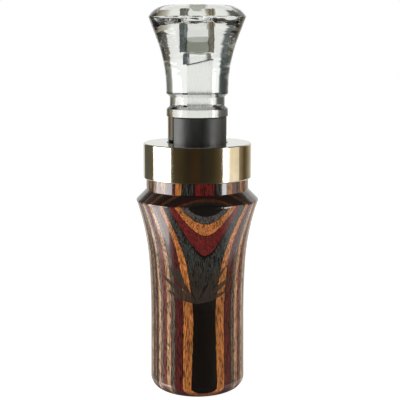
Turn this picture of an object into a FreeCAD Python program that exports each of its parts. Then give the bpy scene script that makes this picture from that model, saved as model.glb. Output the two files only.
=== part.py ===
import FreeCAD, Part
import Sketcher
import math
import os
import re

from FreeCAD import Vector

# A duck call, standing on its mouthpiece end. The origin is the centre of that end, +Z runs up the
# call's axis to the bell, and the reeds and their wedge face -Y. All lengths are in millimetres.

SIZES = {
    # the barrel's outside, from the mouthpiece end up
    "end_radius": 14.08,
    "end_round": 3.7,
    "waist_radius": 13.93,
    "waist_height": 24.0,
    "waist_curve": 262.0,
    "flare_radius": 14.3,
    "flare_height": 38.0,
    "flare_curve": 69.6,
    "rim_radius": 17.98,
    "rim_height": 57.1,
    "rim_round": 0.6,
    "neck_radius": 15.05,
    "neck_height": 60.45,
    # its bores: the breath bore at the mouthpiece, and the wider seat for the insert
    "breath_radius": 7.94,
    "lip_round": 1.0,
    "seat_foot": 22.0,
    "running_gap": 0.07,
    # the brass band, a cap on the barrel's tenon
    "band_radius": 15.875,
    "band_foot": 63.8,
    "band_top": 74.1,
    "band_wall": 2.4,
    "band_cap": 1.6,
    "band_round": 0.35,
    "band_hole_gap": 0.2,
    # the insert's outside, from the tone board's tip up
    "tip_height": 28.0,
    "tip_round": 2.0,
    "board_radius": 8.3,
    "plug_foot": 60.0,
    "shaft_radius": 8.66,
    "ring_foot": 81.9,
    "ring_radius": 9.0,
    "ring_land": 2.1,
    "ring_slope": 0.8,
    "groove_radius": 8.05,
    "bell_foot": 88.4,
    "bell_foot_radius": 9.02,
    "bell_foot_slope": 0.9,
    "bell_curve": 43.0,
    "cone_height": 105.0,
    "cone_radius": 12.08,
    "crease_height": 110.3,
    "crease_radius": 14.1,
    "dome_round": 6.7,
    "crown_radius": 8.3,
    "bell_top": 113.6,
    # its air passage: tone channel, throat and exhaust bore
    "channel_width": 6.2,
    "channel_depth": 6.8,
    "channel_round": 2.4,
    "channel_end_round": 0.7,
    "channel_foot": 34.0,
    "channel_low": 97.2,
    "channel_high": 99.0,
    "throat_radius": 3.0,
    "throat_foot": 95.5,
    "exhaust_radius": 3.8,
    "exhaust_foot": 100.6,
    "exhaust_lip": 0.5,
    "exhaust_floor_round": 0.5,
    # the tone board's face, the reeds on it, and the wedge that holds them
    "board_flat": 3.75,
    "board_drop": 0.98,
    "wedge_foot": 63.0,
    "wedge_round": 0.5,
    "wedge_gap": 0.05,
    "reed_width": 12.7,
    "reed_thick": 0.25,
    "reed_clip": 1.6,
    "reed_head": 81.6,
    "lower_reed_tip": 28.7,
    "upper_reed_tip": 32.4,
    "dimple_height": 56.0,
    "dimple_sphere": 4.0,
    "dimple_depth": 0.12,
}

SKETCH_ORIGIN = -1
HORIZONTAL_AXIS = -1
VERTICAL_AXIS = -2
START, END = 1, 2
SMALLEST_CHANGE = 0.01  # cubic mm

doc = FreeCAD.newDocument("duck_call")
sheet = doc.addObject("Spreadsheet::Sheet", "Sizes")
for row, (alias, size) in enumerate(SIZES.items(), start=1):
    sheet.set(f"A{row}", alias)
    sheet.set(f"B{row}", str(size))
    sheet.setAlias(f"B{row}", alias)
doc.recompute()


def bound(formula):
    """The formula with each word made a reference to the sheet's cell of that name."""
    return re.sub(r"\b(?!sqrt\b)[a-z]\w*", r"Sizes.\g<0>", formula)


def value(formula):
    """What the formula gives with the sheet's sizes."""
    return float(sheet.evalExpression(bound(formula)))


# ---------------------------------------------------------------- sketches


def new_body(name):
    body = doc.addObject("PartDesign::Body", name)
    body.Label = name
    return body


def new_sketch(body, name, plane, offset=None):
    """A sketch on one of the body's own origin planes, moved along the plane's normal by offset."""
    sketch = body.newObject("Sketcher::SketchObject", name)
    found = [feature for feature in body.Origin.OriginFeatures if feature.Role == plane]
    sketch.AttachmentSupport = (found[0], "")
    sketch.MapMode = "FlatFace"
    if offset is not None:
        sketch.setExpression("AttachmentOffset.Base.z", bound(offset))
    return sketch


def arc_centre(here, there, side, radius):
    """The centre of the smaller arc from here to there, on the given side of the way between them."""
    half_way = (there - here) * 0.5
    to_left = Vector(-half_way.y, half_way.x, 0)
    to_left.normalize()
    reach = math.sqrt(radius**2 - half_way.Length**2)
    if side == "right":
        reach = -reach
    return here + half_way + to_left * reach


def add_arc(sketch, here, there, side, radius):
    """Add the arc to the sketch. Returns its index and which of its ends are at here and at there."""
    centre = arc_centre(here, there, side, radius)
    first, last = (here, there) if side == "left" else (there, here)
    angles = [math.atan2(spot.y - centre.y, spot.x - centre.x) for spot in (first, last)]
    circle = Part.Circle(centre, Vector(0, 0, 1), radius)
    index = sketch.addGeometry(Part.ArcOfCircle(circle, *angles), False)
    return (index, START, END) if side == "left" else (index, END, START)


def place_point(sketch, edge, end, axis, formula):
    """Fix one coordinate of a point: DistanceX or DistanceY from the sketch's origin."""
    if formula == "0":
        line = VERTICAL_AXIS if axis == "DistanceX" else HORIZONTAL_AXIS
        sketch.addConstraint(Sketcher.Constraint("PointOnObject", edge, end, line))
        return
    distance = value(formula)
    if distance > 0:
        points = (SKETCH_ORIGIN, START, edge, end)
    else:
        points = (edge, end, SKETCH_ORIGIN, START)
        formula = f"-({formula})"
    constraint = sketch.addConstraint(Sketcher.Constraint(axis, *points, abs(distance)))
    sketch.setExpression(f"Constraints[{constraint}]", bound(formula))


def draw_outline(sketch, corners):
    """Draw a closed outline whose every corner and radius is bound to the sheet.

    A corner is (across, up), from which the outline goes straight to the next corner, or
    (across, up, side, radius), from which it goes by an arc with its centre on that side of the way.
    """
    spots = [Vector(value(corner[0]), value(corner[1]), 0) for corner in corners]
    edges = []
    for here, there, corner in zip(spots, spots[1:] + spots[:1], corners):
        if len(corner) == 2:
            edges.append((sketch.addGeometry(Part.LineSegment(here, there), False), START, END))
        else:
            side, radius = corner[2:]
            edges.append(add_arc(sketch, here, there, side, value(radius)))
    for before, after in zip(edges[-1:] + edges[:-1], edges):
        joined = Sketcher.Constraint("Coincident", before[0], before[2], after[0], after[1])
        sketch.addConstraint(joined)
    for (edge, start, _), corner in zip(edges, corners):
        place_point(sketch, edge, start, "DistanceX", corner[0])
        place_point(sketch, edge, start, "DistanceY", corner[1])
        if len(corner) == 4:
            radius = corner[3]
            constraint = sketch.addConstraint(Sketcher.Constraint("Radius", edge, value(radius)))
            sketch.setExpression(f"Constraints[{constraint}]", bound(radius))
    doc.recompute()
    if not sketch.FullyConstrained:
        raise RuntimeError(f"the sketch {sketch.Label} isn't fully constrained")


# ---------------------------------------------------------------- features


def turn(body, kind, name, corners):
    """Turn an outline in the XZ plane about the Z axis: a Revolution adds it, a Groove cuts it."""
    sketch = new_sketch(body, f"{name}_outline", "XZ_Plane")
    draw_outline(sketch, corners)
    feature = body.newObject(f"PartDesign::{kind}", name)
    feature.Profile = sketch
    feature.ReferenceAxis = (sketch, ["V_Axis"])
    feature.Angle = 360
    finish_feature(body, feature)
    return feature


def extrude(body, kind, name, sketch, length, both_ways=False):
    """A Pad adds along the sketch's normal, a Pocket cuts against it."""
    feature = body.newObject(f"PartDesign::{kind}", name)
    feature.Profile = sketch
    feature.setExpression("Length", bound(length))
    if both_ways:
        feature.Midplane = True
    finish_feature(body, feature)
    return feature


def round_edges(body, name, edges, radius):
    """Fillet the named edges of the body's last feature."""
    base = body.Tip
    feature = body.newObject("PartDesign::Fillet", name)
    feature.Base = (base, edges)
    feature.setExpression("Radius", bound(radius))
    finish_feature(body, feature)
    return feature


def finish_feature(body, feature):
    """Recompute, and stop if the feature didn't do its work: a cut takes away, and the others change."""
    before = feature.BaseFeature.Shape.Volume if feature.BaseFeature else 0
    doc.recompute()
    change = feature.Shape.Volume - before
    is_cut = any(word in feature.TypeId for word in ("Pocket", "Groove", "Subtractive"))
    if abs(change) < SMALLEST_CHANGE or (is_cut and change > 0):
        raise RuntimeError(f"{feature.Label} changed {body.Label} by {change} cubic mm")


def edges_where(shape, test):
    """The names of the shape's edges that pass the test."""
    return [f"Edge{n}" for n, edge in enumerate(shape.Edges, start=1) if test(edge)]


# ---------------------------------------------------------------- sub-parts


def make_barrel():
    """The turned wooden barrel, with its mouthpiece end, flared rim, neck and tenon."""
    body = new_body("barrel")
    tenon_radius = "band_radius - band_wall"
    tenon_top = "band_top - band_cap"
    seat_radius = "shaft_radius + running_gap"
    turn(body, "Revolution", "barrel_turning", [
        ("breath_radius + lip_round", "0"),
        ("end_radius - end_round", "0", "left", "end_round"),
        ("end_radius", "end_round"),
        ("waist_radius", "waist_height", "right", "waist_curve"),
        ("flare_radius", "flare_height", "right", "flare_curve"),
        ("rim_radius", "rim_height", "left", "rim_round"),
        ("rim_radius - rim_round / 4", "rim_height + rim_round"),
        ("neck_radius", "neck_height"),
        ("neck_radius", "band_foot"),
        (tenon_radius, "band_foot"),
        (tenon_radius, tenon_top),
        (seat_radius, tenon_top),
        (seat_radius, "seat_foot"),
        ("breath_radius", "seat_foot"),
        ("breath_radius", "lip_round", "left", "lip_round"),
    ])
    return body


def make_band():
    """The brass band: a skirt round the tenon and a cap over the barrel's end, holed for the insert."""
    body = new_body("band")
    hole_radius = "shaft_radius + running_gap + band_hole_gap"
    turn(body, "Revolution", "band_turning", [
        ("band_radius - band_wall", "band_foot"),
        ("band_radius - band_round", "band_foot", "left", "band_round"),
        ("band_radius", "band_foot + band_round"),
        ("band_radius", "band_top - band_round", "left", "band_round"),
        ("band_radius - band_round", "band_top"),
        (hole_radius, "band_top"),
        (hole_radius, "band_top - band_cap"),
        ("band_radius - band_wall", "band_top - band_cap"),
    ])
    return body


def make_insert():
    """The clear insert: bell, lanyard groove, lip ring, shaft and tone board, with its air passage."""
    body = new_body("insert")
    turn(body, "Revolution", "insert_turning", [
        ("0", "tip_height"),
        ("board_radius - tip_round", "tip_height", "left", "tip_round"),
        ("board_radius", "tip_height + tip_round"),
        ("board_radius", "plug_foot"),
        ("shaft_radius", "plug_foot + 1"),
        ("shaft_radius", "ring_foot"),
        ("ring_radius", "ring_foot"),
        ("ring_radius", "ring_foot + ring_land"),
        ("groove_radius", "ring_foot + ring_land + ring_slope"),
        ("groove_radius", "bell_foot - bell_foot_slope"),
        ("bell_foot_radius", "bell_foot", "right", "bell_curve"),
        ("cone_radius", "cone_height"),
        ("crease_radius", "crease_height", "left", "dome_round"),
        ("crown_radius", "bell_top"),
        ("0", "bell_top"),
    ])
    cut_wedge_seat(body)
    cut_tone_channel(body)
    turn(body, "Groove", "exhaust_bore", [
        ("0", "throat_foot"),
        ("throat_radius", "throat_foot"),
        ("throat_radius", "exhaust_foot"),
        ("exhaust_radius - exhaust_floor_round", "exhaust_foot", "left", "exhaust_floor_round"),
        ("exhaust_radius", "exhaust_foot + exhaust_floor_round"),
        ("exhaust_radius", "bell_top - exhaust_lip"),
        ("exhaust_radius + exhaust_lip", "bell_top"),
        ("exhaust_radius + exhaust_lip", "bell_top + 1"),
        ("0", "bell_top + 1"),
    ])
    return body


def cut_wedge_seat(body):
    """Cut the insert's -Y side away: flat under the wedge, then falling gently to the board's tip."""
    outside = "-(ring_radius + 1)"
    fallen = "board_drop - board_flat"
    board_length = "(wedge_foot - tip_height)"
    curve = f"({board_length}^2 + board_drop^2) / (2 * board_drop)"
    sketch = new_sketch(body, "wedge_seat_outline", "YZ_Plane")
    draw_outline(sketch, [
        ("-board_flat", "ring_foot"),
        (outside, "ring_foot"),
        (outside, "tip_height - 1"),
        (fallen, "tip_height - 1"),
        (fallen, "tip_height", "right", curve),
        ("-board_flat", "wedge_foot"),
    ])
    extrude(body, "Pocket", "wedge_seat", sketch, "4 * ring_radius", both_ways=True)


def cut_tone_channel(body):
    """Cut the channel down the tone board, on under the ring and into the bell, to a slanted end."""
    half = "channel_width / 2"
    sketch = new_sketch(body, "tone_channel_outline", "XZ_Plane", offset="board_flat")
    draw_outline(sketch, [
        (half, "channel_foot"),
        (half, "channel_high"),
        (f"-{half}", "channel_low"),
        (f"-{half}", "channel_foot", "left", half),
        ("0", f"channel_foot - {half}", "left", half),
    ])
    channel = extrude(body, "Pocket", "tone_channel", sketch, "channel_depth")
    floor = value("channel_depth - board_flat")
    side = value(half)

    def is_floor_edge(edge):
        """Along the channel's floor, down either side or round its foot."""
        box = edge.BoundBox
        on_floor = abs(box.YMin - floor) < 1e-3 and abs(box.YMax - floor) < 1e-3
        within = box.XMin > -side - 1e-3 and box.XMax < side + 1e-3
        at_slanted_end = box.ZMin > value("channel_low") - 1e-3
        return on_floor and within and not at_slanted_end

    def is_end_edge(edge):
        """Across the slanted end, at the tone board's face."""
        box = edge.BoundBox
        at_face = abs(box.YMin + value("board_flat")) < 1e-3 and abs(box.YMax + value("board_flat")) < 1e-3
        return at_face and box.XLength > side and box.ZMin > value("channel_low") - 1e-3

    edges = edges_where(channel.Shape, is_floor_edge)
    floor_rounding = round_edges(body, "tone_channel_floor", edges, "channel_round")
    edges = edges_where(floor_rounding.Shape, is_end_edge)
    round_edges(body, "tone_channel_end", edges, "channel_end_round")


def make_reed(name, tip, height_on_board):
    """A flat springy reed on the tone board, its tip's corners clipped."""
    body = new_body(name)
    half = "reed_width / 2"
    sketch = new_sketch(body, f"{name}_outline", "XZ_Plane", offset=f"board_flat + {height_on_board}")
    draw_outline(sketch, [
        (f"reed_clip - {half}", tip),
        (f"{half} - reed_clip", tip),
        (half, f"{tip} + reed_clip"),
        (half, "reed_head"),
        (f"-{half}", "reed_head"),
        (f"-{half}", f"{tip} + reed_clip"),
    ])
    extrude(body, "Pad", f"{name}_sheet", sketch, "reed_thick")
    return body


def make_upper_reed():
    """The shorter reed, on top of the lower one, with a shallow dimple in its outer face."""
    body = make_reed("upper_reed", "upper_reed_tip", "reed_thick")
    dimple = body.newObject("PartDesign::SubtractiveSphere", "dimple")
    dimple.setExpression("Radius", bound("dimple_sphere"))
    outer_face = "board_flat + 2 * reed_thick"
    dimple.setExpression(
        "Placement.Base.y", bound(f"-({outer_face} + dimple_sphere - dimple_depth)")
    )
    dimple.setExpression("Placement.Base.z", bound("dimple_height"))
    finish_feature(body, dimple)
    return body


def make_wedge():
    """The half-moon rubber wedge that clamps both reeds' heads on the tone board."""
    body = new_body("wedge")
    flat = "(board_flat + 2 * reed_thick)"
    half_chord = f"sqrt(shaft_radius^2 - {flat}^2)"
    sketch = new_sketch(body, "wedge_outline", "XY_Plane", offset="wedge_foot")
    draw_outline(sketch, [
        (f"-{half_chord}", f"-{flat}", "left", "shaft_radius"),
        (half_chord, f"-{flat}"),
    ])
    block = extrude(body, "Pad", "wedge_block", sketch, "ring_foot - wedge_gap - wedge_foot")

    def is_end_curve(edge):
        """The curved edge of either end."""
        return abs(edge.BoundBox.ZLength) < 1e-3 and edge.BoundBox.YLength > 1

    edges = edges_where(block.Shape, is_end_curve)
    round_edges(body, "wedge_soft_ends", edges, "wedge_round")
    return body


def check_document():
    """Stop if anything in the document failed to recompute."""
    for item in doc.Objects:
        if "Invalid" in item.State or "Error" in item.State:
            raise RuntimeError(f"{item.Label} is {item.State}")


def write_parts(bodies):
    """Write each sub-part to its own STEP file, named after its node."""
    os.makedirs("parts", exist_ok=True)
    for body in bodies:
        if body.Shape.isNull() or not body.Shape.isValid() or len(body.Shape.Solids) != 1:
            raise RuntimeError(f"{body.Label} isn't one valid solid")
    for body in bodies:
        body.Shape.exportStep(f"parts/{body.Label}.step")
        print(f"{body.Label}: {body.Shape.Volume:.0f} cubic mm")


subparts = [
    make_barrel(),
    make_band(),
    make_insert(),
    make_wedge(),
    make_reed("lower_reed", "lower_reed_tip", "0"),
    make_upper_reed(),
]
doc.recompute()
check_document()
write_parts(subparts)
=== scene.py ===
import math

import bmesh
import bpy
from mathutils import Matrix, Vector


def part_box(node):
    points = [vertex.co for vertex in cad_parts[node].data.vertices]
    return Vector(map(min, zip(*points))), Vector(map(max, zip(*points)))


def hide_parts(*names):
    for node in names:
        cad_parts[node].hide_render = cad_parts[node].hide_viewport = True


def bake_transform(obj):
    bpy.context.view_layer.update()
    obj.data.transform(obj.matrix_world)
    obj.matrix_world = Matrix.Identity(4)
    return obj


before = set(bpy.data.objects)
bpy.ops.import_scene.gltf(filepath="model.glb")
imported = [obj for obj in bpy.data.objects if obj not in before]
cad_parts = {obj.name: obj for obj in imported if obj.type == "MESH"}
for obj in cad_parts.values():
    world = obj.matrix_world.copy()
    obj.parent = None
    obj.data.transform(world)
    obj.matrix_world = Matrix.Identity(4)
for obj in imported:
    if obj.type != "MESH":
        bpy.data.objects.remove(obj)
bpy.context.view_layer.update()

# The duck call stands at the origin, +Z up its axis, its reeds and wedge facing -Y.
# Lengths are in metres, except in the materials, whose patterns are laid out in millimetres.

MM = 0.001
UP = (0, 0, 1)

# The camera looks down at the call a little, from just left of the way the wedge faces.
CAMERA_AZIMUTH = math.radians(-9.0)
CAMERA_ELEVATION = math.radians(9.2)
CAMERA_DISTANCE = 0.2962
CAMERA_AIM_HEIGHT = 0.0569
CAMERA_ASIDE = 0.0008
CAMERA_LENS = 90.0

# Horizontal directions: towards the camera, and to the camera's right.
TOWARDS_CAMERA = Vector((math.sin(CAMERA_AZIMUTH), -math.cos(CAMERA_AZIMUTH), 0))
CAMERA_RIGHT = Vector((math.cos(CAMERA_AZIMUTH), math.sin(CAMERA_AZIMUTH), 0))


# ---------------------------------------------------------------- node trees


class Tree:
    """A node tree, with short calls for the nodes used most. An input is a socket or a constant."""

    def __init__(self, owner):
        owner.use_nodes = True
        self.tree = owner.node_tree
        self.tree.nodes.clear()

    def add(self, kind, inputs=None, **settings):
        """A new node with these settings, its inputs linked or set. Returns the node."""
        node = self.tree.nodes.new(kind)
        for name, setting in settings.items():
            setattr(node, name, setting)
        for key, given in (inputs or {}).items():
            self.plug(node.inputs[key], given)
        return node

    def plug(self, socket, given):
        """Link this input socket to another's output, or set it to a constant."""
        if isinstance(given, bpy.types.NodeSocket):
            self.tree.links.new(given, socket)
        else:
            socket.default_value = given

    def math(self, operation, *operands):
        inputs = dict(enumerate(operands))
        return self.add("ShaderNodeMath", inputs, operation=operation).outputs[0]

    def product(self, first, second):
        return self.math("MULTIPLY", first, second)

    def vector_math(self, operation, *operands):
        """Returns the node, whose result is at its output Vector or Value."""
        inputs = dict(enumerate(operands))
        return self.add("ShaderNodeVectorMath", inputs, operation=operation)

    def dot(self, vector, direction):
        return self.vector_math("DOT_PRODUCT", vector, direction).outputs["Value"]

    def length(self, vector):
        return self.vector_math("LENGTH", vector).outputs["Value"]

    def offset(self, vector, centre):
        return self.vector_math("SUBTRACT", vector, centre).outputs["Vector"]

    def stretched(self, vector, scale):
        return self.vector_math("MULTIPLY", vector, scale).outputs["Vector"]

    def smooth_step(self, factor, low, high):
        """0 at low, 1 at high, and smooth between them. low may be the greater."""
        inputs = {"Value": factor, "From Min": low, "From Max": high}
        return self.add("ShaderNodeMapRange", inputs, interpolation_type="SMOOTHSTEP").outputs[0]

    def between(self, factor, low, high, soft):
        """1 between low and high, 0 outside, with edges this soft."""
        rise = self.smooth_step(factor, low - soft, low + soft)
        fall = self.smooth_step(factor, high - soft, high + soft)
        return self.math("SUBTRACT", rise, fall)

    def spread(self, factor, low, high):
        """The factor's 0 to 1 stretched over low to high."""
        inputs = {"Value": factor, "To Min": low, "To Max": high}
        return self.add("ShaderNodeMapRange", inputs).outputs[0]

    def noise(self, vector, scale, detail=2.0, roughness=0.5, layer=None):
        """Noise, a different one for each value of layer."""
        inputs = {"Vector": vector, "Scale": scale, "Detail": detail, "Roughness": roughness}
        dimensions = "3D"
        if layer is not None:
            inputs["W"] = layer
            dimensions = "4D"
        return self.add("ShaderNodeTexNoise", inputs, noise_dimensions=dimensions).outputs[0]

    def ramp(self, factor, stops, interpolation="LINEAR"):
        """Colours that follow the factor. Each stop is its position and its colour."""
        node = self.add("ShaderNodeValToRGB", {"Fac": factor})
        ramp = node.color_ramp
        ramp.interpolation = interpolation
        while len(ramp.elements) > 1:
            ramp.elements.remove(ramp.elements[-1])
        for index, (position, colour) in enumerate(stops):
            stop = ramp.elements[0] if index == 0 else ramp.elements.new(position)
            stop.position = position
            stop.color = (*colour, 1.0)
        return node.outputs["Color"]

    def mix(self, factor, first, second, blend="MIX"):
        """The first colour at factor 0, and the second, or the first blended with it, at 1."""
        node = self.add("ShaderNodeMix", data_type="RGBA", blend_type=blend)
        sockets = {socket.identifier: socket for socket in node.inputs}
        self.plug(sockets["Factor_Float"], factor)
        for key, colour in (("A_Color", first), ("B_Color", second)):
            self.plug(sockets[key], (*colour, 1.0) if isinstance(colour, tuple) else colour)
        return next(socket for socket in node.outputs if socket.identifier == "Result_Color")

    def shaded(self, colour, factor, dark, light):
        """The colour times a brightness. dark and light are each a value of the factor and a brightness."""
        stops = [(position, (brightness,) * 3) for position, brightness in (dark, light)]
        return self.mix(1.0, colour, self.ramp(factor, stops), "MULTIPLY")

    def bump(self, height, distance, strength=1.0):
        inputs = {"Height": height, "Distance": distance, "Strength": strength}
        return self.add("ShaderNodeBump", inputs).outputs[0]

    def millimetres(self):
        """Where the point is on the resting object, in millimetres."""
        place = self.add("ShaderNodeTexCoord").outputs["Object"]
        return self.stretched(place, (1 / MM,) * 3)

    def facing_up(self):
        """How far the surface faces up: 1 if it is level, 0 if upright, -1 if it faces straight down."""
        return self.dot(self.add("ShaderNodeNewGeometry").outputs["True Normal"], UP)

    def surface(self, inputs):
        shader = self.add("ShaderNodeBsdfPrincipled", inputs)
        self.add("ShaderNodeOutputMaterial", {"Surface": shader.outputs[0]})


def new_material(name):
    material = bpy.data.materials.new(name)
    return material, Tree(material)


def shade(red, green, blue):
    """A colour given as the eye reads it, 0 to 255, as the linear colour that shaders use."""
    return tuple((channel / 255) ** 2.2 for channel in (red, green, blue))


# ---------------------------------------------------------------- the laminated wood

# The dyes, the glue, and what burning makes of the wood. The painted shade darkens any colour round the
# foot and where the barrel slants steeply up or down, standing in for the shade that falls there.
BLACK = shade(24, 22, 22)
CHARCOAL = shade(62, 64, 60)
SPECKLED = shade(92, 88, 84)
ORANGE = shade(212, 128, 64)
DARK_RED = shade(122, 34, 32)
MAROON = shade(98, 34, 34)
GREY_GREEN = shade(110, 98, 86)
PINK_TAN = shade(214, 162, 124)
RUST = shade(140, 78, 68)
OLIVE = shade(128, 108, 84)
CREAM = shade(218, 180, 142)
BROWN = shade(100, 62, 46)
MAUVE = shade(142, 116, 108)
GLUE = shade(26, 14, 10)
DARK_CHAR = shade(34, 28, 24)
PALE_CHAR = shade(72, 62, 54)
# Painted shade: how dark the foot and the steep slopes are painted.
PAINTED_SHADE_TINT = (0.26, 0.20, 0.17)

# The veneers lie upright and parallel. These run from the front of the blank to its back:
# each has its thickness in millimetres and its dye.
VENEERS = [
    (0.90, BLACK),
    (0.70, SPECKLED),
    (0.84, ORANGE),
    (1.00, DARK_RED),
    (0.14, BLACK),
    (1.04, BLACK),
    (0.95, ORANGE),
    (1.27, MAROON),
    (0.76, GREY_GREEN),
    (1.14, PINK_TAN),
    (1.15, RUST),
    (0.84, MAUVE),
    (0.99, CREAM),
    (1.01, BROWN),
    (0.70, MAUVE),
    (0.90, OLIVE),
    (0.70, RUST),
    (0.80, CREAM),
    (1.00, OLIVE),
    (1.00, BROWN),
    (1.00, GREY_GREEN),
    (1.10, MAROON),
    (1.10, CREAM),
    (1.05, CHARCOAL),
    (1.10, RUST),
    (1.15, PINK_TAN),
    (1.05, GREY_GREEN),
    (1.10, DARK_RED),
    (1.20, ORANGE),
    (1.05, BLACK),
    (1.10, OLIVE),
    (1.10, MAROON),
    (1.15, CREAM),
    (1.10, CHARCOAL),
    (1.10, ORANGE),
    (1.10, DARK_RED),
    (1.60, BLACK),
]

# In millimetres in front of the call's axis: the blank's front face, and the black veneer that shows
# pale flecks on the flare and the neck.
FRONT_FACE = 18.24
FLECKED_VENEER = (13.62, 14.66)

# The veneers' front faces -Y, turned this far towards +X.
VENEERS_FACE = math.radians(-0.5)
GLUE_LINE = 0.07
MOST_STOPS = 32

# Heights on the barrel, in millimetres: where each begins, and where it is complete.
# The painted shade round the foot begins at the first height and is complete at the second.
FOOT_SHADE_HEIGHTS = (3.2, 1.0)
LACQUER = (1.5, 4.5)
FLARE = (20.0, 26.0)
NECK = (60.2, 60.6)


def veneer_colours(tree, depth):
    """The veneers' colours, by depth in millimetres behind the blank's front face, with glue lines.

    A ramp holds only so many stops, and each veneer needs two, so the veneers are shared between ramps."""
    per_ramp = MOST_STOPS // 2
    colours = None
    reached = 0.0
    for first in range(0, len(VENEERS), per_ramp):
        start = reached
        marks = []
        for thickness, colour in VENEERS[first:first + per_ramp]:
            marks.append((reached, GLUE))
            marks.append((reached + GLUE_LINE, colour))
            reached += thickness
        stops = [((mark - start) / (reached - start), colour) for mark, colour in marks]
        along = tree.math("DIVIDE", tree.math("SUBTRACT", depth, start), reached - start)
        these = tree.ramp(along, stops, "CONSTANT")
        if colours is None:
            colours = these
        else:
            colours = tree.mix(tree.math("GREATER_THAN", depth, start), colours, these)
    return colours


def veneer_place(tree, place):
    """How far in front of the axis the point is, in a blank whose veneers drift and fray a little."""
    facing = (math.sin(VENEERS_FACE), -math.cos(VENEERS_FACE), 0)
    drift = tree.noise(tree.stretched(place, (1, 1, 0.35)), 0.12, detail=3.0)
    fray = tree.noise(tree.stretched(place, (1, 1, 0.4)), 1.6)
    drifted = tree.math("ADD", tree.dot(place, facing), tree.spread(drift, -0.08, 0.08))
    return tree.math("ADD", drifted, tree.spread(fray, -0.07, 0.07))


def where_flecked(tree, forward, height, slant):
    """A mask for the flecked veneer, on the flare's slant and on the neck."""
    in_veneer = tree.between(forward, *FLECKED_VENEER, 0.03)
    on_flare = tree.product(tree.smooth_step(slant, 0.01, 0.07), tree.smooth_step(height, *FLARE))
    on_neck = tree.smooth_step(height, *NECK)
    return tree.product(in_veneer, tree.math("MAXIMUM", on_flare, on_neck))


def where_shade_painted(tree, height, slant):
    """A mask for painted shade: round the foot, and wherever the surface slants steeply up or down."""
    at_foot = tree.smooth_step(height, *FOOT_SHADE_HEIGHTS)
    slants_steeply = tree.smooth_step(slant, 0.35, 0.65)
    return tree.math("MAXIMUM", at_foot, slants_steeply)


# Cattails among blades of rush: start and end across and up, in millimetres from the ornament's
# middle, then width and taper. Each is drawn again mirrored.
ORNAMENT = [
    ((0.0, -6.2), (0.0, 1.0), 0.50, 0.0),
    ((0.0, 0.2), (0.0, 4.6), 1.70, 0.3),
    ((0.0, 4.6), (0.0, 6.4), 0.40, 0.3),
    ((0.3, -6.2), (4.6, 0.6), 0.45, 0.0),
    ((4.1, -0.1), (6.3, 3.3), 1.60, 0.3),
    ((6.3, 3.3), (7.2, 4.7), 0.35, 0.3),
    ((0.0, -6.4), (11.4, 1.4), 1.50, 0.95),
    ((0.2, -6.5), (9.4, -3.2), 1.30, 0.95),
    ((0.1, -6.4), (9.0, 4.6), 1.30, 0.95),
    ((0.0, -6.4), (2.9, 5.4), 1.20, 0.95),
]
ORNAMENT_HEIGHT = 35.5
ORNAMENT_RADIUS = 14.1

# A stroke's soft edge, in millimetres, and its ends, as parts of its length from its middle.
STROKE_EDGE = 0.06
STROKE_ENDS = (0.51, 0.49)

# How much of the burnt wood's colour is char, and how deep the char is against the grain's relief.
CHAR_COVER = 0.93
CHAR_DEPTH = 3.0


def stroke(tree, point, start, end, width, taper):
    """A mask for one straight mark between two points, in millimetres, thinning to its ends by taper."""
    run = Vector((*end, 0)) - Vector((*start, 0))
    aside = Vector((-run.y, run.x, 0))
    from_start = tree.offset(point, (*start, 0))
    along = tree.dot(from_start, run / run.length_squared)
    off_line = tree.math("ABSOLUTE", tree.dot(from_start, aside / run.length))
    from_middle = tree.math("ABSOLUTE", tree.math("SUBTRACT", along, 0.5))
    narrowing = tree.product(tree.math("POWER", from_middle, 2.0), 4 * taper)
    half_width = tree.product(tree.math("SUBTRACT", 1.0, narrowing), width / 2)
    beside = tree.math("SUBTRACT", off_line, half_width)
    in_width = tree.smooth_step(beside, STROKE_EDGE, -STROKE_EDGE)
    in_length = tree.smooth_step(from_middle, *STROKE_ENDS)
    return tree.product(in_width, in_length)


def ornament(tree, place):
    """A mask for the burnt ornament, laid round the barrel's front."""
    angle = tree.math("ARCTAN2", tree.dot(place, CAMERA_RIGHT), tree.dot(place, TOWARDS_CAMERA))
    across = tree.product(angle, ORNAMENT_RADIUS)
    up = tree.math("SUBTRACT", tree.dot(place, UP), ORNAMENT_HEIGHT)
    point = tree.add("ShaderNodeCombineXYZ", {"X": across, "Y": up}).outputs[0]
    marks = None
    for side in (-1, 1):
        for start, end, width, taper in ORNAMENT:
            start, end = (start[0] * side, start[1]), (end[0] * side, end[1])
            mark = stroke(tree, point, start, end, width, taper)
            marks = mark if marks is None else tree.math("MAXIMUM", marks, mark)
    return marks


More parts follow.
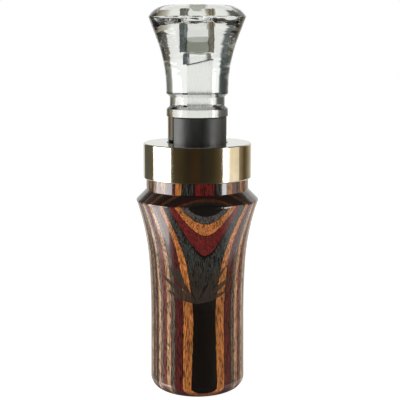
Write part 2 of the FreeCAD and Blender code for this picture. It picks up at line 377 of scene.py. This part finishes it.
def wood_material():
    """Dyed veneers glued into a blank, turned, burnt with a plain ornament, and lacquered, with painted
    shade round the foot and on the steep slopes.
    """
    material, tree = new_material("laminated_wood")
    place = tree.millimetres()
    height = tree.dot(place, UP)
    slant = tree.math("ABSOLUTE", tree.facing_up())
    forward = veneer_place(tree, place)
    layer = tree.math("FLOOR", forward)
    grain = tree.noise(tree.stretched(place, (1, 1, 0.06)), 5.0, detail=4.0, roughness=0.65, layer=layer)
    figure = tree.noise(tree.stretched(place, (1, 1, 0.16)), 0.8, layer=layer)
    pores = tree.noise(tree.stretched(place, (1, 1, 0.10)), 5.4, detail=1.0, layer=layer)
    is_pore = tree.smooth_step(pores, 0.50, 0.60)
    burnt = ornament(tree, place)

    dyed = veneer_colours(tree, tree.math("SUBTRACT", FRONT_FACE, forward))
    streaked = tree.shaded(dyed, grain, (0.32, 0.26), (0.68, 1.46))
    figured = tree.shaded(streaked, figure, (0.30, 0.70), (0.70, 1.15))
    porous = tree.mix(tree.product(is_pore, 0.85), figured, GLUE)
    flecks = tree.ramp(pores, [(0.46, CHARCOAL), (0.56, BLACK)])
    flecked = tree.mix(where_flecked(tree, forward, height, slant), porous, flecks)
    # Painted shade: the foot and the steep slopes, such as the slope under the rim, are darkened where
    # shade falls.
    painted_shade_colour = tree.mix(1.0, flecked, PAINTED_SHADE_TINT, "MULTIPLY")
    with_painted_shade = tree.mix(where_shade_painted(tree, height, slant), flecked, painted_shade_colour)
    char = tree.ramp(grain, [(0.3, DARK_CHAR), (0.7, PALE_CHAR)])

    fibres = tree.math("SUBTRACT", tree.product(grain, 0.5), is_pore)
    relief = tree.math("SUBTRACT", fibres, tree.product(burnt, CHAR_DEPTH))
    tree.surface({
        "Base Color": tree.mix(tree.product(burnt, CHAR_COVER), with_painted_shade, char),
        "Roughness": tree.spread(grain, 0.60, 0.45),
        "Specular IOR Level": 0.1,
        "Normal": tree.bump(relief, 0.02 * MM, 0.6),
        "Coat Weight": tree.smooth_step(height, *LACQUER),
        "Coat Roughness": 0.11,
        "Coat IOR": 1.8,
    })
    return material


# ---------------------------------------------------------------- the brass

DEEP_BRASS = (0.66, 0.58, 0.43)
PALE_BRASS = (0.80, 0.74, 0.60)
# Painted reflection: the level face's greyer colour stands for the pale room it mirrors at a grazing angle.
LEVEL_FACE_REFLECTION = (0.60, 0.59, 0.56)

# The middle of a patch of curved polishing scratches, in millimetres.
SWIRL_CENTRE = (2.4, -15.6, 69.0)


def swirl(tree, place, stain):
    """Curved scratches in a ring round the patch's middle, broken up by the stains."""
    away = tree.length(tree.offset(place, SWIRL_CENTRE))
    arcs = tree.math("SINE", tree.product(away, 9.0))
    in_patch = tree.product(tree.between(away, 1.6, 4.2, 0.5), tree.smooth_step(stain, 0.35, 0.6))
    return tree.product(arcs, in_patch)


def brass_material():
    """Polished brass: faint rings from turning, a patch of scratches, stains, and a painted reflection that
    greys its level face.
    """
    material, tree = new_material("brass")
    place = tree.millimetres()
    rings = tree.noise(tree.stretched(place, (0.02, 0.02, 1)), 9.0, detail=4.0, roughness=0.7)
    stain = tree.noise(place, 0.22, detail=3.0)
    upright = tree.noise(tree.stretched(place, (1, 1, 0.05)), 0.7, detail=3.0)
    tint = tree.math("ADD", tree.product(stain, 0.5), tree.product(upright, 0.5))
    side = tree.ramp(tint, [(0.35, DEEP_BRASS), (0.65, PALE_BRASS)])
    is_level = tree.smooth_step(tree.facing_up(), 0.7, 0.95)
    relief = tree.math("ADD", rings, swirl(tree, place, stain))
    tree.surface({
        # Painted reflection: the level face is given the greyer colour.
        "Base Color": tree.mix(is_level, side, LEVEL_FACE_REFLECTION),
        "Metallic": 1.0,
        "Roughness": tree.spread(rings, 0.07, 0.16),
        "Normal": tree.bump(relief, 0.004 * MM, 0.5),
    })
    return material


# ---------------------------------------------------------------- the acrylic

CLEAR = (0.985, 0.995, 0.985)
BRUSHED = (0.95, 0.96, 0.94)
# Painted shade: a grey tint that stands for the dark room seen through the bore's finely frosted wall.
BORE_SHADE_TINT = (0.32, 0.33, 0.28)

# Where the tone channel is brushed, in millimetres across, back and up the call. Its two side walls
# lie outside this, and stay polished.
CHANNEL_ACROSS = (-2.9, 2.9)
CHANNEL_DEEP = (-3.8, 3.2)
CHANNEL_UP = (29.0, 99.5)

# The exhaust bore's frosted part, which also carries the painted shade: its heights, and how far from the
# axis the frosting and the shade are gone and complete.
FROSTED_AND_SHADED_UP = (100.5, 105.5)
FROSTED_AND_SHADED_WALL = (4.0, 3.9)

# The bell's ripples: where they begin and are complete, up the call and out from its axis, and how
# high they are against the brushing.
RIPPLES_UP = (90.0, 97.0)
RIPPLES_OUT = (6.0, 8.0)
RIPPLE_HEIGHT = 9.0


def acrylic_material():
    """Clear acrylic: polished, but brushed in its tone channel, frosted and tinted with painted shade in
    its bore, rippled on its bell.
    """
    material, tree = new_material("clear_acrylic")
    place = tree.millimetres()
    height = tree.dot(place, UP)
    from_axis = tree.length(tree.stretched(place, (1, 1, 0)))
    across = tree.between(tree.dot(place, (1, 0, 0)), *CHANNEL_ACROSS, 0.1)
    deep = tree.between(tree.dot(place, (0, 1, 0)), *CHANNEL_DEEP, 0.03)
    along = tree.between(height, *CHANNEL_UP, 0.1)
    in_channel = tree.product(tree.product(across, deep), along)
    in_bore = tree.product(tree.smooth_step(from_axis, *FROSTED_AND_SHADED_WALL), tree.between(height, *FROSTED_AND_SHADED_UP, 0.3))
    on_bell = tree.product(tree.smooth_step(height, *RIPPLES_UP), tree.smooth_step(from_axis, *RIPPLES_OUT))

    brushed = tree.noise(tree.stretched(place, (1, 1, 0.05)), 3.0, detail=3.0)
    brushed_colour = tree.ramp(brushed, [(0.3, BRUSHED), (0.7, CLEAR)])
    channel_finish = tree.product(in_channel, tree.spread(brushed, 0.15, 0.4))
    bore_finish = tree.product(in_bore, tree.spread(brushed, 0.03, 0.10))
    ripples = tree.noise(tree.stretched(place, (0.3, 0.3, 1)), 0.8, detail=0.5)
    rippled = tree.product(tree.product(ripples, on_bell), RIPPLE_HEIGHT)
    relief = tree.math("ADD", tree.product(brushed, in_channel), rippled)
    tree.surface({
        # Painted shade: the bore's grey tint.
        "Base Color": tree.mix(in_bore, tree.mix(in_channel, CLEAR, brushed_colour), BORE_SHADE_TINT),
        "Transmission Weight": 1.0,
        "IOR": 1.49,
        "Roughness": tree.math("ADD", channel_finish, bore_finish),
        "Normal": tree.bump(relief, 0.03 * MM, 0.5),
    })
    return material


# ---------------------------------------------------------------- the other materials

DARK_RUBBER = (0.010, 0.011, 0.010)
PALE_RUBBER = (0.028, 0.031, 0.029)
FILM = (0.86, 0.88, 0.85, 1.0)
DARK_PAPER = (0.88, 0.88, 0.88)
PALE_PAPER = (0.92, 0.92, 0.92)
WHITE_LIGHT = (1.0, 1.0, 1.0, 1.0)


def rubber_material():
    """Dense black rubber, cut and lightly polished."""
    material, tree = new_material("black_rubber")
    place = tree.millimetres()
    grain = tree.noise(place, 3.0, detail=4.0, roughness=0.6)
    smears = tree.noise(tree.stretched(place, (1, 1, 0.4)), 0.5)
    tree.surface({
        "Base Color": tree.ramp(smears, [(0.3, DARK_RUBBER), (0.7, PALE_RUBBER)]),
        "Roughness": tree.spread(smears, 0.36, 0.55),
        "Specular IOR Level": 1.0,
        "Normal": tree.bump(grain, 0.04 * MM, 0.5),
    })
    return material


def reed_material():
    """Frosted translucent plastic film."""
    material, tree = new_material("reed_film")
    place = tree.millimetres()
    frost = tree.noise(place, 6.0, detail=3.0)
    tree.surface({
        "Base Color": FILM,
        "Roughness": tree.spread(frost, 0.3, 0.45),
        "Transmission Weight": 0.45,
        "IOR": 1.6,
        "Normal": tree.bump(frost, 0.003 * MM, 0.4),
    })
    return material


def floor_material():
    """Plain pale studio paper, lit from within so that it stays as white as the backdrop."""
    material, tree = new_material("studio_floor")
    fibre = tree.noise(tree.millimetres(), 0.8, detail=4.0)
    tree.surface({
        "Base Color": tree.ramp(fibre, [(0.3, DARK_PAPER), (0.7, PALE_PAPER)]),
        "Roughness": 0.9,
        "Emission Color": WHITE_LIGHT,
        "Emission Strength": 0.92,
    })
    return material


# ---------------------------------------------------------------- the reeds' films

# Cells across and along a film, the corners clipped off its tip, and the upper reed's dimple.
REED_COLUMNS = 40
REED_ROWS = 166
REED_CLIP = 1.6 * MM
DIMPLE_HEIGHT = 56.0 * MM
DIMPLE_RADIUS = 1.0 * MM
DIMPLE_DEPTH = 0.12 * MM
SHARP_EDGE = math.radians(40)


def reed_side(form, low, high, y, dimple_depth):
    """One side of a film, its dimple sunk by so much. Returns rows of corners, from the tip up."""
    rows = []
    for row in range(REED_ROWS + 1):
        above_tip = (high.z - low.z) * row / REED_ROWS
        half_width = high.x - max(0.0, REED_CLIP - above_tip)
        z = low.z + above_tip
        corners = []
        for column in range(REED_COLUMNS + 1):
            x = half_width * (2 * column / REED_COLUMNS - 1)
            from_dimple = math.hypot(x, z - DIMPLE_HEIGHT) / DIMPLE_RADIUS
            sunk = dimple_depth * max(0.0, 1 - from_dimple ** 2)
            corners.append(form.verts.new((x, y + sunk, z)))
        rows.append(corners)
    for lower, upper in zip(rows, rows[1:]):
        for left in range(REED_COLUMNS):
            right = left + 1
            form.faces.new((lower[left], lower[right], upper[right], upper[left])).smooth = True
    return rows


def outline(rows):
    """The corners round a side's edge, in order."""
    right_edge = [row[-1] for row in rows[1:-1]]
    left_edge = [row[0] for row in rows[1:-1]]
    return rows[0] + right_edge + rows[-1][::-1] + left_edge[::-1]


def reed_mesh(node, dimple_depth):
    """A closed film of the node's size, divided finely enough to bend."""
    low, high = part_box(node)
    form = bmesh.new()
    front = outline(reed_side(form, low, high, low.y, dimple_depth))
    back = outline(reed_side(form, low, high, high.y, 0.0))
    for here in range(len(front)):
        after = (here + 1) % len(front)
        form.faces.new((front[here], front[after], back[after], back[here]))
    bmesh.ops.recalc_face_normals(form, faces=form.faces)
    mesh = bpy.data.meshes.new(node + "_film")
    form.to_mesh(mesh)
    form.free()
    mesh.set_sharp_from_angle(angle=SHARP_EDGE)
    return mesh


def add_reed(node, material, dimple_depth=0.0):
    """A finely divided film in place of the CAD reed, which is hidden."""
    mesh = reed_mesh(node, dimple_depth)
    mesh.materials.append(material)
    reed = bpy.data.objects.new(node + "_film", mesh)
    bpy.context.collection.objects.link(reed)
    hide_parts(node)
    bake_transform(reed)


def give(node, material):
    """Give a CAD node this one material."""
    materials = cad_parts[node].data.materials
    materials.clear()
    materials.append(material)


# ---------------------------------------------------------------- camera, lights and floor

# What stands round the call, from the walls' upper part down to the table: colours by direction, in
# degrees, with the camera at 0, its right at 90, and 180 behind the call.
UPPER_WALLS = [
    (-180, (0.8, 0.81, 0.78)),
    (-152, (0.8, 0.81, 0.78)),
    (-147, (0.08, 0.1, 0.1)),
    (-95, (0.06, 0.08, 0.08)),
    (-60, (0.07, 0.075, 0.07)),
    (0, (0.03, 0.026, 0.022)),
    (50, (0.06, 0.055, 0.045)),
    (80, (0.14, 0.12, 0.09)),
    (138, (0.14, 0.12, 0.09)),
    (141, (0.85, 0.85, 0.83)),
    (180, (0.8, 0.81, 0.78)),
]
WALLS = [
    (-180, (0.96, 0.97, 0.94)),
    (-150, (0.94, 0.96, 0.95)),
    (-147, (0.04, 0.055, 0.055)),
    (-98, (0.05, 0.06, 0.06)),
    (-60, (0.08, 0.085, 0.08)),
    (0, (0.03, 0.026, 0.022)),
    (50, (0.06, 0.055, 0.045)),
    (83, (0.2, 0.2, 0.18)),
    (127, (0.18, 0.19, 0.15)),
    (136, (0.26, 0.26, 0.22)),
    (145, (0.92, 0.93, 0.90)),
    (180, (0.96, 0.97, 0.94)),
]
GROUND = [
    (-180, (0.86, 0.86, 0.82)),
    (-153, (0.86, 0.86, 0.83)),
    (-148, (0.12, 0.12, 0.1)),
    (-110, (0.12, 0.11, 0.085)),
    (-58, (0.1, 0.085, 0.05)),
    (-42, (0.06, 0.045, 0.02)),
    (-18, (0.03, 0.024, 0.016)),
    (-4, (0.05, 0.027, 0.012)),
    (12, (0.026, 0.022, 0.018)),
    (34, (0.045, 0.036, 0.018)),
    (56, (0.13, 0.1, 0.05)),
    (98, (0.13, 0.1, 0.05)),
    (103, (0.26, 0.21, 0.14)),
    (107, (0.26, 0.21, 0.14)),
    (117, (0.1, 0.07, 0.03)),
    (124, (0.12, 0.09, 0.05)),
    (136, (0.29, 0.25, 0.18)),
    (150, (0.5, 0.46, 0.38)),
    (158, (0.86, 0.86, 0.82)),
    (180, (0.86, 0.86, 0.82)),
]
TABLE = [
    (-180, (0.85, 0.85, 0.83)),
    (-70, (0.85, 0.85, 0.83)),
    (-55, (0.06, 0.05, 0.04)),
    (60, (0.06, 0.05, 0.04)),
    (85, (0.85, 0.85, 0.83)),
    (180, (0.85, 0.85, 0.83)),
]
CEILING = (0.06, 0.06, 0.055)

# Where the table gives way to the ground, the ground to the walls, the walls to their upper part, and
# that to the ceiling: each edge's start and end, as the sine of the angle above the horizon.
EDGES = [(-0.38, -0.32), (-0.09, -0.03), (0.21, 0.30), (0.55, 0.65)]

SOFTBOX_DISTANCE = 0.60
FLOOR_REACH = 1.5


def add_camera():
    camera = bpy.data.objects.new("camera", bpy.data.cameras.new("camera"))
    bpy.context.collection.objects.link(camera)
    camera.data.lens = CAMERA_LENS
    camera.data.sensor_width = 36.0
    camera.data.clip_start = 0.01
    aim = Vector((0, 0, CAMERA_AIM_HEIGHT)) + CAMERA_RIGHT * CAMERA_ASIDE
    back = TOWARDS_CAMERA * math.cos(CAMERA_ELEVATION) + Vector((0, 0, math.sin(CAMERA_ELEVATION)))
    camera.location = aim + back * CAMERA_DISTANCE
    camera.rotation_euler = back.to_track_quat("Z", "Y").to_euler()
    bpy.context.scene.camera = camera


def add_softbox(name, left, elevation, width, height, radiance, colour=(1, 1, 1)):
    """A softbox facing the call, this many degrees round to the left of the camera.

    The camera and the rays that pass through the acrylic don't see it."""
    light = bpy.data.lights.new(name, "AREA")
    light.shape = "RECTANGLE"
    light.size = width
    light.size_y = height
    light.energy = radiance * math.pi * width * height
    light.color = colour
    softbox = bpy.data.objects.new(name, light)
    bpy.context.collection.objects.link(softbox)
    turn = Matrix.Rotation(-math.radians(left), 3, "Z")
    rise = math.radians(elevation)
    away = (turn @ TOWARDS_CAMERA) * math.cos(rise) + Vector((0, 0, math.sin(rise)))
    softbox.location = Vector((0, 0, CAMERA_AIM_HEIGHT)) + away * SOFTBOX_DISTANCE
    softbox.rotation_euler = away.to_track_quat("Z", "Y").to_euler()
    softbox.visible_camera = False
    softbox.visible_transmission = False


def add_studio_walls():
    """The world: plain white to the camera, and to the call a room of pale and dark walls."""
    world = bpy.data.worlds.new("studio")
    bpy.context.scene.world = world
    tree = Tree(world)
    way = tree.add("ShaderNodeTexCoord").outputs["Generated"]
    turn = tree.math("ARCTAN2", tree.dot(way, CAMERA_RIGHT), tree.dot(way, TOWARDS_CAMERA))
    around = tree.math("ADD", tree.math("DIVIDE", turn, 2 * math.pi), 0.5)
    table, *rings_above = (
        tree.ramp(around, [(0.5 + degrees / 360, colour) for degrees, colour in ring])
        for ring in (TABLE, GROUND, WALLS, UPPER_WALLS)
    )
    up = tree.dot(way, UP)
    room = table
    for edge, above in zip(EDGES, (*rings_above, CEILING)):
        room = tree.mix(tree.smooth_step(up, *edge), room, above)
    is_seen = tree.add("ShaderNodeLightPath").outputs["Is Camera Ray"]
    seen = tree.mix(is_seen, room, (1.0, 1.0, 1.0))
    background = tree.add("ShaderNodeBackground", {"Color": seen, "Strength": 1.0})
    tree.add("ShaderNodeOutputWorld", {"Surface": background.outputs[0]})


def add_floor():
    """A pale floor to stand on, hidden from reflections and from the rays through the acrylic."""
    corners = [(x * FLOOR_REACH, y * FLOOR_REACH, 0) for x, y in ((-1, -1), (1, -1), (1, 1), (-1, 1))]
    mesh = bpy.data.meshes.new("floor")
    mesh.from_pydata(corners, [], [(0, 1, 2, 3)])
    mesh.materials.append(floor_material())
    floor = bpy.data.objects.new("floor", mesh)
    bpy.context.collection.objects.link(floor)
    floor.visible_glossy = False
    floor.visible_transmission = False


# ---------------------------------------------------------------- the making

add_camera()
add_softbox("softbox_left", left=80.4, elevation=5, width=0.515, height=0.36, radiance=5.0)
add_softbox("bounce_left", left=86.0, elevation=-33, width=0.34, height=0.10, radiance=2.8)
add_softbox("strip_right", left=-62.2, elevation=4, width=0.125, height=0.36, radiance=7.0)
add_softbox("softbox_right", left=-84.0, elevation=4, width=0.31, height=0.36, radiance=0.9,
            colour=(1.0, 0.93, 0.82))
add_studio_walls()
add_floor()
bpy.context.scene.view_settings.view_transform = "Standard"

give("barrel", wood_material())
give("band", brass_material())
give("insert", acrylic_material())
give("wedge", rubber_material())
film = reed_material()
add_reed("lower_reed", film)
add_reed("upper_reed", film, DIMPLE_DEPTH)
